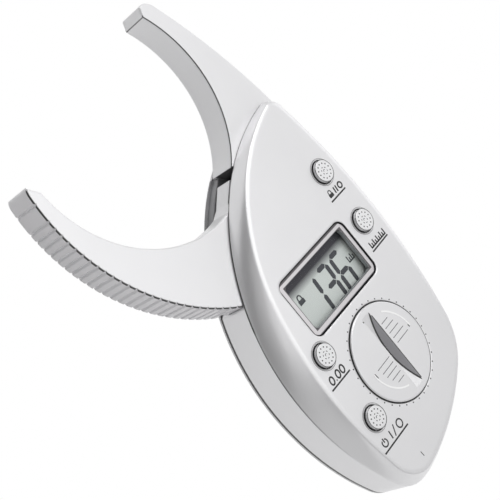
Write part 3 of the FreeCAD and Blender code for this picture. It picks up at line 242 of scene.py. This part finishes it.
def cover_paint():
    """Paint on the cover, with painted shade on the walls of its holes and painted shade lines at
    its edges.
    """
    paint = silver("cover_silver", 0.8)
    key_holes = [paint.around(*place, KEY_HOLE) for place in KEY_PLACES.values()]
    bezel_hole = paint.all_of(paint.between("X", *BEZEL_HOLE_X), paint.between("Y", *BEZEL_HOLE_Y))
    holes = paint.any_of(paint.around(*CAP, CAP_HOLE), bezel_hole, *key_holes)
    # painted shade on the walls of the holes
    paint.shade(paint.all_of(holes, paint.between("Z", 0.0, FACE - 0.06)), PAINTED_RECESS_SHADE)
    # painted shadow in the seam with the housing
    paint.shade(paint.between("Z", PARTING - 0.1, PARTING + 0.7), (0.025, 0.025, 0.025))

    # painted shade lines on the face round the keys and the cap, for the dark gaps round them:
    # middle, radius and grey
    outlines = [(place, 3.56, 0.3) for place in KEY_PLACES.values()] + [(CAP, 13.0, 0.12)]
    width = 0.16
    for place, radius, grey in outlines:
        ring = paint.ring(*place, radius, radius + width)
        paint.shade(paint.all_of(ring, paint.between("Z", FACE - 0.1, FACE + 0.1)), (grey,) * 3)

    # painted shade along the crease, fading toward the rear, and painted shadow in the gap beside
    # the jaws
    fading = paint.ranged(paint.axis("Y"), -60.0 * MM, -35.0 * MM, 0.0, 1.0)
    crease_shade = paint.between("Z", CREASE - 0.15, CREASE + 0.15)
    paint.shade(paint.all_of(fading, crease_shade), (0.14, 0.14, 0.15))
    shadow_beside_jaw = paint.all_of(paint.between("Y", -19.0, 9.0, soft=1.0),
                              paint.between("Z", CREASE - 0.2, CREASE + 0.2))
    paint.shade(shadow_beside_jaw, (0.03, 0.03, 0.03))
    return paint


def housing_paint():
    """Paint on the back housing and fixed jaw, with painted shade inside the jaws' mouth."""
    paint = silver("housing_silver", 0.4, 0.3)

    def zone(first, z_low, z_high, colour):
        paint.shade(paint.all_of(first, paint.between("Z", z_low, z_high)), colour)

    # painted shade on the housing's inner wall and on its rim in the mouth
    zone(paint.around(*BODY_ARC), PARTING + 0.05, JAW_STEP, (0.24, 0.24, 0.25))
    zone(paint.between("Y", 1.0, 13.2), 0.35, PARTING + 0.1, (0.28, 0.28, 0.29))
    # painted shadow on the faces of the recess behind the jaws
    zone(paint.between("Y", *BODY_Y), JAW_STEP, JAW_FRONT, PAINTED_RECESS_SHADE)
    zone(paint.between("Y", 11.0, 13.3), JAW_STEP, JAW_FRONT - 0.05, (0.11, 0.11, 0.115))
    zone(paint.around(*FIXED_JAW_ARC), JAW_FRONT - 0.21, JAW_FRONT - 0.01, LINE)
    # a pin-point at the fixed jaw's tip, and the line where the side meets the back
    paint.shade(paint.around(15.04, 54.7, 0.16), (0.2, 0.2, 0.2))
    paint.shade(paint.between("Z", 0.03, 0.27, soft=0.04), (0.25, 0.25, 0.25))
    return paint


def jaw_paint():
    """Paint on the moving jaw, dark along the front edge of its ribs, with painted shadow round
    its hub.
    """
    paint = silver("jaw_silver", 0.35, 0.3)
    ribs = paint.outside(paint.around(*RIB_ARC))
    paint.shade(paint.all_of(ribs, paint.between("Z", 1.0, 10.8)), (0.80, 0.79, 0.81))
    paint.shade(paint.all_of(ribs, paint.between("Z", 10.75, 11.07)), (0.06, 0.06, 0.06))
    # painted shadow in the gap between the hub and the housing
    paint.shade(paint.all_of(paint.around(*HUB_ARC), paint.between("Z", 3.9, 4.55)), LINE)
    return paint


def cap_paint():
    """Paint on the battery cap, with painted shade on its side wall, on the slope in its coin slot
    and in a line at the slope's foot.
    """
    paint = silver("cap_silver", 0.3)
    # painted shade on the cap's side wall in its seat
    paint.shade(paint.all_of(paint.upright(), paint.between("Z", 10.0, CAP_TOP - 0.3)), PAINTED_RECESS_SHADE)
    # painted shade on the slope of the coin slot
    slope = paint.all_of(paint.facing("X", -0.25, -0.08), paint.around(*CAP, 12.0))
    paint.shade(slope, (0.40, 0.395, 0.415))
    # painted shade line at the foot of the slope
    foot = paint.all_of(paint.ring(*SLOPE_FOOT, soft=0.06), paint.around(*CAP, 11.0),
                        paint.between("Z", CAP_TOP - 2.0, CAP_TOP - 0.04, soft=0.02))
    paint.shade(foot, (0.06, 0.06, 0.06))
    return paint


def key_paint():
    paint = Surface("key_silver", (0.82, 0.82, 0.83), 0.36, metallic=0.45, edge=0.2)
    # painted shade on the key's side, down in its hole
    paint.shade(paint.all_of(paint.upright(), paint.between("Z", 10.0, FACE + 0.2)), PAINTED_RECESS_SHADE)
    return paint


def bezel_paint():
    """Metallic ring with painted shade on its walls and in lines outside and inside; its far inner
    walls get a paler painted shade, near-silver along the right wall's top.
    """
    paint = Surface("bezel_metallic", (0.68, 0.66, 0.675), 0.30, metallic=0.8, edge=0.3)
    # painted shade on all upright walls
    paint.shade(paint.upright(), (0.10, 0.09, 0.10))
    soft = 0.12
    # painted shade lines in the groove outside the ring and in the gap inside it
    outer_shade_line = paint.outside(paint.all_of(paint.between("X", -9.8, 19.3, soft),
                                            paint.between("Y", -29.8, -14.65, soft)))
    inner_shade_line = paint.all_of(paint.between("X", -8.66, 17.9, soft),
                              paint.between("Y", -28.72, -15.5, soft))
    paint.shade(paint.any_of(outer_shade_line, inner_shade_line), (0.09, 0.085, 0.09))
    # paler painted shade on the far inner walls, near-silver at the top of the right one
    right_wall = paint.all_of(paint.facing("X", -0.9, -0.7), paint.between("X", 12.0, 18.2))
    lower_wall = paint.all_of(paint.facing("Y", 0.9, 0.7), paint.between("Y", -29.2, -25.0))
    paint.shade(paint.any_of(right_wall, lower_wall), (0.36, 0.38, 0.39))
    paint.shade(paint.all_of(right_wall, paint.between("Z", 15.9, 18.0)), (0.78, 0.76, 0.77))
    return paint


def display_paint():
    """Grey display, in the bezel's shadow along its upper side."""
    paint = Surface("display_grey", (0.62, 0.66, 0.64), 0.30, variation=0.04)
    paint.main.inputs["Specular IOR Level"].default_value = 0.2
    paint.faded("Y", -17.8, -20.2, 0.98)
    return paint


def window_plastic():
    """Thin clear plastic: see-through, with a faint uneven gloss."""
    plastic = Surface("window_clear", (0.9, 0.93, 0.92), 0.09, variation=0.02)
    plastic.main.inputs["Alpha"].default_value = 0.03
    return plastic


KEYCAP = key_paint()
BLACK = Surface("black_plastic", (0.03, 0.03, 0.03), 0.55)
STEEL = Surface("spring_steel", (0.60, 0.60, 0.62), 0.28, metallic=1.0, grain=4000)
CELL = Surface("cell_steel", (0.70, 0.70, 0.72), 0.22, metallic=1.0, grain=3000)
SCREW = Surface("screw_steel", (0.45, 0.45, 0.47), 0.32, metallic=1.0, grain=3000)
CONTACT = Surface("contact_metal", (0.75, 0.58, 0.30), 0.28, metallic=1.0, grain=3000)
BOARD = Surface("board_green", (0.03, 0.20, 0.08), 0.35)
NYLON = Surface("nylon", (0.85, 0.84, 0.80), 0.5)
STRIP = Surface("strip_rubber", (0.70, 0.42, 0.46), 0.6)
INK = Surface("label_ink", (0.012, 0.012, 0.013), 0.45, bump=0.05, variation=0.2)
SEGMENT = Surface("display_segment", (0.018, 0.021, 0.03), 0.45, variation=0.15)
PAINTED_ENGRAVING_SHADE = Surface("engraved_shade", (0.05, 0.05, 0.053), 0.6, variation=0.2)
PAINTED_RIDGE_HIGHLIGHT = Surface("raised_line_highlight", (0.97, 0.97, 0.97), 0.4, metallic=0.1)
# painted shade of small dimples
PAINTED_DIMPLE_SHADE = Surface("dimple_shade", (0.02, 0.02, 0.022), 0.6, variation=0.2)

FINISH = {
    "back_housing": housing_paint(), "front_cover": cover_paint(), "moving_jaw": jaw_paint(),
    "battery_cap": cap_paint(), "hold_key": KEYCAP, "unit_key": KEYCAP, "zero_key": KEYCAP,
    "power_key": KEYCAP, "torsion_spring": STEEL, "pivot_pin": STEEL, "wave_washer": STEEL,
    "rotor_plate": CONTACT, "contact_negative": CONTACT, "contact_positive": CONTACT,
    "circuit_board": BOARD, "key_switches": BLACK, "battery_cup": BLACK, "display_chip": BLACK,
    "pivot_washer": NYLON, "coin_cell": CELL, "display_bezel": bezel_paint(),
    "display_window": window_plastic(), "display_glass": display_paint(),
    "contact_strips": STRIP, "housing_screws": SCREW, "board_screws": SCREW,
}
for name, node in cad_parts.items():
    node.data.materials.clear()
    node.data.materials.append(FINISH[name].made)


# ---------------------------------------------------------------- meshes from closed tubes

def tube_piece(name, tubes, material):
    """A mesh of closed tubes; each tube is a list of rings with the same number of (x, y, z)."""
    points, faces = [], []
    for rings in tubes:
        first, count = len(points), len(rings[0])
        points += [(x * MM, y * MM, z * MM) for ring in rings for x, y, z in ring]
        last = len(points) - count
        faces.append([first + i for i in reversed(range(count))])
        faces.append([last + i for i in range(count)])
        for low in range(first, last, count):
            high = low + count
            faces += [(low + i, low + (i + 1) % count, high + (i + 1) % count, high + i)
                      for i in range(count)]
    mesh = bpy.data.meshes.new(name)
    mesh.from_pydata(points, [], faces)
    mesh.materials.append(material.made)
    piece = bpy.data.objects.new(name, mesh)
    scene.collection.objects.link(piece)
    return piece


def upright_tube(outline, bottom, top):
    """The two rings of a tube that stands on a flat outline, turned counterclockwise."""
    ring = [Vector(p) for p in outline]
    area = sum(ring[i - 1].x * p.y - p.x * ring[i - 1].y for i, p in enumerate(ring))
    if area < 0:
        ring.reverse()
    return [[(p.x, p.y, z) for p in ring] for z in (bottom, top)]


def flat_marks(name, outlines, bottom, top, material, body):
    """Thin prisms over flat outlines, on one body."""
    tubes = [upright_tube(outline, bottom, top) for outline in outlines]
    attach(tube_piece(name, tubes, material), body)


# ---------------------------------------------------------------- flat outlines

def disc(x, y, radius, count):
    return [Vector((x + radius * math.cos(2 * math.pi * i / count),
                    y + radius * math.sin(2 * math.pi * i / count))) for i in range(count)]


def dot(x, y):
    return disc(x, y, 0.2, 8)


def arc(x, y, radius, start, end, count):
    """Points along an arc; the angles are in degrees."""
    turns = [math.radians(start + (end - start) * i / count) for i in range(count + 1)]
    return [(x + radius * math.cos(t), y + radius * math.sin(t)) for t in turns]


def stroke(points, width):
    """Quads along a polyline, of even width, with mitred corners and square ends."""
    line = [Vector(p) for p in points]
    closed = (line[0] - line[-1]).length < 1e-6
    if closed:
        line = line[:-1]
    count = len(line)
    left, right = [], []
    for i, here in enumerate(line):
        before = line[i - 1] if closed or i else None
        after = line[(i + 1) % count] if closed or i < count - 1 else None
        entering = (here - before).normalized() if before else (after - here).normalized()
        leaving = (after - here).normalized() if after else entering
        normal_in = Vector((-entering.y, entering.x))
        normal_out = Vector((-leaving.y, leaving.x))
        middle = (normal_in + normal_out).normalized()
        offset = middle * (width / 2 / max(0.3, middle.dot(normal_in)))
        left.append(here + offset)
        right.append(here - offset)
    pairs = [(i, (i + 1) % count) for i in range(count if closed else count - 1)]
    return [[left[i], left[j], right[j], right[i]] for i, j in pairs]


def strokes(lines, width):
    return [quad for line in lines for quad in stroke(line, width)]


def padlock(x, y, size):
    """Padlock sign: a solid body under a shackle; x, y is its lower left corner."""
    body = [(x, y), (x + size, y), (x + size, y + 0.55 * size), (x, y + 0.55 * size)]
    shackle = stroke([(x + 0.2 * size, y + 0.5 * size)]
                     + arc(x + 0.5 * size, y + 0.78 * size, 0.3 * size, 180, 0, 10)
                     + [(x + 0.8 * size, y + 0.5 * size)], 0.17 * size)
    return [body] + shackle


def ruler(x, y, width, height, line, ticks):
    """Ruler sign: a base line with long and short ticks standing on it."""
    shapes = stroke([(x, y), (x + width, y)], line)
    for i in range(ticks):
        place = x + line / 2 + (width - line) * i / (ticks - 1)
        length = height if i % 2 == 0 else 0.6 * height
        shapes += stroke([(place, y), (place, y + length)], line)
    return shapes


def zeros(text, x, y, height, line, lean):
    """The figure 0 and the point, set in a row."""
    half = 0.36 * height
    shapes = []
    for sign in text:
        if sign == ".":
            shapes.append(disc(x + 0.2, y + 0.15, 0.2, 12))
            x += 0.75
            continue
        oval = []
        for i in range(20):
            turn = 2 * math.pi * i / 20
            rise = height / 2 - height / 2 * math.cos(turn)
            oval.append((x + half + half * math.sin(turn) + lean * rise, y + rise))
        shapes += stroke(oval + oval[:1], line)
        x += 2 * half + 0.55
    return shapes


# ---------------------------------------------------------------- display

DIGIT_MIDDLE, DIGIT_HALF, DIGIT_WIDTH, DIGIT_LEAN = -24.5, 4.85, 3.75, 0.062
SEGMENT_WIDTH, SEGMENT_GAP = 1.28, 0.12
SEGMENT_HEIGHT = 0.03


def segment(x0, y0, x1, y1):
    """A bar with pointed ends between two corner points of the figure."""
    start, end = Vector((x0, y0)), Vector((x1, y1))
    along = (end - start).normalized()
    side = Vector((-along.y, along.x)) * SEGMENT_WIDTH / 2
    a = start + along * SEGMENT_GAP
    b = end - along * SEGMENT_GAP
    nib = along * SEGMENT_WIDTH / 2
    ring = [a, a + nib + side, b - nib + side, b, b - nib - side, a + nib - side]
    return [Vector((p.x + DIGIT_LEAN * (p.y - DIGIT_MIDDLE), p.y)) for p in ring]


def digit(right, lit):
    """A seven-segment figure, by the x of its right-hand column and its lit segments."""
    left = right - DIGIT_WIDTH
    top, low = DIGIT_MIDDLE + DIGIT_HALF, DIGIT_MIDDLE - DIGIT_HALF
    places = {"a": (left, top, right, top), "b": (right, top, right, DIGIT_MIDDLE),
              "c": (right, DIGIT_MIDDLE, right, low), "d": (left, low, right, low),
              "e": (left, DIGIT_MIDDLE, left, low), "f": (left, top, left, DIGIT_MIDDLE),
              "g": (left, DIGIT_MIDDLE, right, DIGIT_MIDDLE)}
    return [segment(*places[name]) for name in lit]


figures = digit(2.05, "bc") + digit(8.1, "abcdg") + digit(14.0, "acdefg")
figures.append(disc(9.05, -29.0, 0.35, 12))
flat_marks("display_figures", figures, GLASS, GLASS + SEGMENT_HEIGHT, SEGMENT, "housing")
signs = padlock(-5.9, -22.3, 2.2) + ruler(15.1, -24.2, 2.6, 1.7, 0.36, 4)
flat_marks("display_signs", signs, GLASS, GLASS + SEGMENT_HEIGHT, SEGMENT, "housing")


# ---------------------------------------------------------------- print on the face

PRINT_HEIGHT = 0.012

UNDERLINES = [[(20.85, -9.85), (27.65, -9.75)], [(21.27, -26.35), (29.01, -26.15)],
              [(-16.99, -40.9), (-8.79, -40.95)], [(-16.66, -61.1), (-5.45, -61.15)]]
HOLD_BARS = [[(24.1, -9.05), (24.3, -7.35)], [(25.0, -9.05), (25.2, -7.35)]]

labels = strokes(UNDERLINES, 0.42)
labels += padlock(21.4, -9.05, 1.75) + strokes(HOLD_BARS, 0.46)
labels += stroke(arc(26.75, -8.2, 0.76, 0, 360, 20), 0.44)
labels += ruler(21.7, -25.5, 7.1, 1.6, 0.42, 9)
labels += zeros("0.00", -15.9, -40.2, 1.95, 0.44, 0.12)
# power sign, bar, slash and ring
labels += stroke(arc(-14.6, -59.3, 0.95, 120, 420, 20), 0.38)
labels += stroke([(-14.6, -59.2), (-14.6, -58.0)], 0.38)
labels += stroke([(-11.8, -60.3), (-11.55, -58.2)], 0.4)
labels += stroke([(-10.6, -60.5), (-9.3, -58.0)], 0.34)
labels += stroke(arc(-7.35, -59.25, 1.05, 0, 360, 22), 0.38)
# short mark near the rear end
labels += stroke([(-7.86, -68.1), (-7.8, -69.5)], 0.22)
flat_marks("key_labels", labels, FACE, FACE + PRINT_HEIGHT, INK, "housing")


# ---------------------------------------------------------------- painted shade of the dimples on the keys

DOT_CIRCLE, DASH_CIRCLE, MIDDLE_ARC, RIM_LINE = 2.0, 0.95, 0.3, 2.92
DIMPLE_DEPTH = 0.01


def dimple_shade_marks(x, y):
    """Dark marks painted as the shade of dimples: a circle of dots, a circle of dashes, a small
    arc and a fine line inside the rim.
    """
    marks = [dot(*place) for place in arc(x, y, DOT_CIRCLE, 5, 335, 11)]
    for turn in range(20, 380, 60):
        marks += stroke(arc(x, y, DASH_CIRCLE, turn, turn + 26, 4), 0.2)
    marks += stroke(arc(x, y, MIDDLE_ARC, 30, 210, 6), 0.16)
    return marks + stroke(arc(x, y, RIM_LINE, 0, 360, 40), 0.13)


for name, place in KEY_PLACES.items():
    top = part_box(name + "_key")[1][2] / MM
    flat_marks(name + "_dimples", dimple_shade_marks(*place), top - DIMPLE_DEPTH, top + DIMPLE_DEPTH, PAINTED_DIMPLE_SHADE,
               name)


# ---------------------------------------------------------------- painted shade and highlight lines on the cap, shade dots round it

# painted shade of the grip grooves beside the slot: x from, x to, y
GRIP_LINES = [(7.8, 10.7, -39.9), (7.9, 11.6, -41.45), (7.95, 12.3, -43.0), (8.0, 13.0, -44.55),
              (8.1, 13.5, -46.15), (-2.6, 3.1, -46.6), (-2.0, 3.1, -48.2), (-1.6, 3.1, -49.6),
              (-0.9, 3.1, -51.1), (0.2, 3.1, -52.6)]
# painted shade along the slot's edge
SLOT_EDGE = [(7.06, -36.4), (7.06, -56.6)]
# short dark marks at the slot's upper end and at the ends of the raised lines
END_MARKS = [[(3.55, -35.75), (3.55, -36.2)], [(14.5, -45.3), (14.7, -46.1)],
             [(-4.07, -46.5), (-3.92, -47.9)]]

ENGRAVED_HEIGHT, RAISED_HEIGHT = 0.01, 0.05
SCALE_RADIUS = 13.6

cap_lines = strokes([[(x0, y), (x1, y)] for x0, x1, y in GRIP_LINES], 0.16)
cap_lines += stroke(SLOT_EDGE, 0.26) + strokes(END_MARKS, 0.3)
flat_marks("cap_lines", cap_lines, CAP_TOP, CAP_TOP + ENGRAVED_HEIGHT, PAINTED_ENGRAVING_SHADE, "cap")
# raised lines painted near-white as their highlight
cap_arcs = strokes([arc(*CAP, 10.1, 58, 2, 18), arc(*CAP, 9.3, 182, 254, 20)], 0.4)
flat_marks("cap_arcs", cap_arcs, CAP_TOP, CAP_TOP + RAISED_HEIGHT, PAINTED_RIDGE_HIGHLIGHT, "cap")

# painted shade of small dimples round the cap
scale_dots = [dot(*place) for place in arc(*CAP, SCALE_RADIUS, 0, 350, 35)]
flat_marks("cap_scale_dots", scale_dots, FACE, FACE + PRINT_HEIGHT, PAINTED_DIMPLE_SHADE, "housing")


# ---------------------------------------------------------------- torsion spring

def spring_coil(wire, radius, low, high, turns, leg, leg_gap):
    """Coil of square wire with a leg in the housing and one in the jaw."""
    steps_per_turn = 36
    steps = turns * steps_per_turn
    half = wire / 2
    coil = []
    for i in range(steps + 1):
        turn, height = 2 * math.pi * i / steps_per_turn, low + (high - low) * i / steps
        coil.append([((radius + half * out) * math.cos(turn),
                      (radius + half * out) * math.sin(turn),
                      height + half * up) for out, up in ((-1, -1), (1, -1), (1, 1), (-1, 1))])
    leg_outline = disc(radius, 0.0, half - leg_gap, 12)
    legs = [upright_tube(leg_outline, bottom, bottom + leg) for bottom in (low - leg, high)]
    piece = tube_piece("spring_coil", [coil, *legs], STEEL)
    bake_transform(piece)
    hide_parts("torsion_spring")


spring_coil(wire=0.8, radius=4.95, low=4.3, high=7, turns=3, leg=1.2, leg_gap=0.02)


# ---------------------------------------------------------------- floor and light

FLOOR_REACH, FLOOR_LEVEL = 1500.0, -0.2
FLOOR_GREY = 0.72
WHITE = (1, 1, 1, 1)
LIGHT_TARGET = Vector((0, -20, 0))

# direction from the target, distance and side in metres, power in watts
LIGHTS = {
    "upper_right": ((0.342, 0.0, 0.940), 1.2, 0.68, 1.5),
    "upper_back": ((0.354, 0.612, 0.707), 0.5, 0.3, 0.75),
    "upper_left": ((-0.342, 0.0, 0.940), 0.5, 0.3, 0.15),
    "left": ((-0.612, 0.354, 0.707), 0.5, 0.3, 0.09),
    "low_right": ((0.940, 0.0, 0.342), 0.5, 0.3, 0.165),
}

# the surroundings' level, and the direction round which they go dark
ROOM_LEVEL = 0.684
DARK_SIDE, DARK_START, DARK_END = (-0.8, 0.5, 0.42), 0.5, 0.95


def background_rays(tree, first, *others):
    """1 for the rays that show the white background, 0 for those that light the object."""
    seen = tree.nodes.new("ShaderNodeLightPath")
    result = seen.outputs[first]
    for other in others:
        either = tree.nodes.new("ShaderNodeMath")
        either.operation = "MAXIMUM"
        tree.links.new(result, either.inputs[0])
        tree.links.new(seen.outputs[other], either.inputs[1])
        result = either.outputs[0]
    return result


def mixed(tree, rays, first, second, output):
    """Show the first shader, and the second to the background rays."""
    mix = tree.nodes.new("ShaderNodeMixShader")
    tree.links.new(background_rays(tree, *rays), mix.inputs[0])
    tree.links.new(first.outputs[0], mix.inputs[1])
    tree.links.new(second.outputs[0], mix.inputs[2])
    tree.links.new(mix.outputs[0], tree.nodes[output].inputs["Surface"])


def floor():
    """Pale matt floor just under the part, white where the camera sees it."""
    mesh = bpy.data.meshes.new("floor")
    reach, level = FLOOR_REACH * MM, FLOOR_LEVEL * MM
    corners = [(-reach, -reach, level), (reach, -reach, level), (reach, reach, level),
               (-reach, reach, level)]
    mesh.from_pydata(corners, [], [(0, 1, 2, 3)])
    ground = bpy.data.objects.new("floor", mesh)
    scene.collection.objects.link(ground)
    made = bpy.data.materials.new("floor_pale")
    made.use_nodes = True
    tree = made.node_tree
    matt = tree.nodes["Principled BSDF"]
    matt.inputs["Base Color"].default_value = (*(FLOOR_GREY,) * 3, 1)
    matt.inputs["Roughness"].default_value = 0.9
    glow = tree.nodes.new("ShaderNodeEmission")
    glow.inputs["Color"].default_value = WHITE
    mixed(tree, ("Is Camera Ray", "Is Glossy Ray", "Is Transmission Ray"), matt, glow,
          "Material Output")
    mesh.materials.append(made)


def area_light(name, direction, distance, size, power):
    """A soft square light that faces the part."""
    lamp = bpy.data.lights.new(name, "AREA")
    lamp.shape = "SQUARE"
    lamp.size = size
    lamp.energy = power
    thing = bpy.data.objects.new(name, lamp)
    scene.collection.objects.link(thing)
    away = Vector(direction).normalized()
    thing.location = LIGHT_TARGET * MM + away * distance
    thing.rotation_euler = away.to_track_quat("Z", "Y").to_euler()


def surroundings():
    """Pale surroundings, dark around one direction; white where the camera sees them."""
    sky = bpy.data.worlds.new("studio")
    scene.world = sky
    sky.use_nodes = True
    tree = sky.node_tree
    place = tree.nodes.new("ShaderNodeTexCoord")
    toward = tree.nodes.new("ShaderNodeVectorMath")
    toward.operation = "DOT_PRODUCT"
    toward.inputs[1].default_value = Vector(DARK_SIDE).normalized()
    tree.links.new(place.outputs["Generated"], toward.inputs[0])
    level = tree.nodes.new("ShaderNodeMapRange")
    level.interpolation_type = "SMOOTHSTEP"
    level.inputs["From Min"].default_value = DARK_START
    level.inputs["From Max"].default_value = DARK_END
    level.inputs["To Min"].default_value = ROOM_LEVEL
    level.inputs["To Max"].default_value = 0.0
    tree.links.new(toward.outputs["Value"], level.inputs["Value"])
    room = tree.nodes["Background"]
    room.inputs["Color"].default_value = WHITE
    tree.links.new(level.outputs["Result"], room.inputs["Strength"])
    white = tree.nodes.new("ShaderNodeBackground")
    white.inputs["Color"].default_value = WHITE
    mixed(tree, ("Is Camera Ray", "Is Transmission Ray"), room, white, "World Output")


floor()
for name, settings in LIGHTS.items():
    area_light(name, *settings)
surroundings()


# ---------------------------------------------------------------- camera

# fitted to the photograph
CAMERA_PLACE = Vector((-192.257, 40.279, 243.684))
CAMERA_RIGHT = Vector((0.5437, -0.6270, 0.5580))
CAMERA_UP = Vector((0.5652, 0.7650, 0.3088))
LENS, SENSOR = 90.69, 36.0
CLIP_START = 10.0


def camera():
    lens = bpy.data.cameras.new("camera")
    lens.lens = LENS
    lens.sensor_width = SENSOR
    lens.clip_start = CLIP_START * MM
    thing = bpy.data.objects.new("camera", lens)
    scene.collection.objects.link(thing)
    back = CAMERA_RIGHT.cross(CAMERA_UP).normalized()
    up = back.cross(CAMERA_RIGHT).normalized()
    turn = Matrix((CAMERA_RIGHT.normalized(), up, back)).transposed().to_4x4()
    thing.matrix_world = Matrix.Translation(CAMERA_PLACE * MM) @ turn
    scene.camera = thing


camera()
scene.view_settings.view_transform = "Standard"
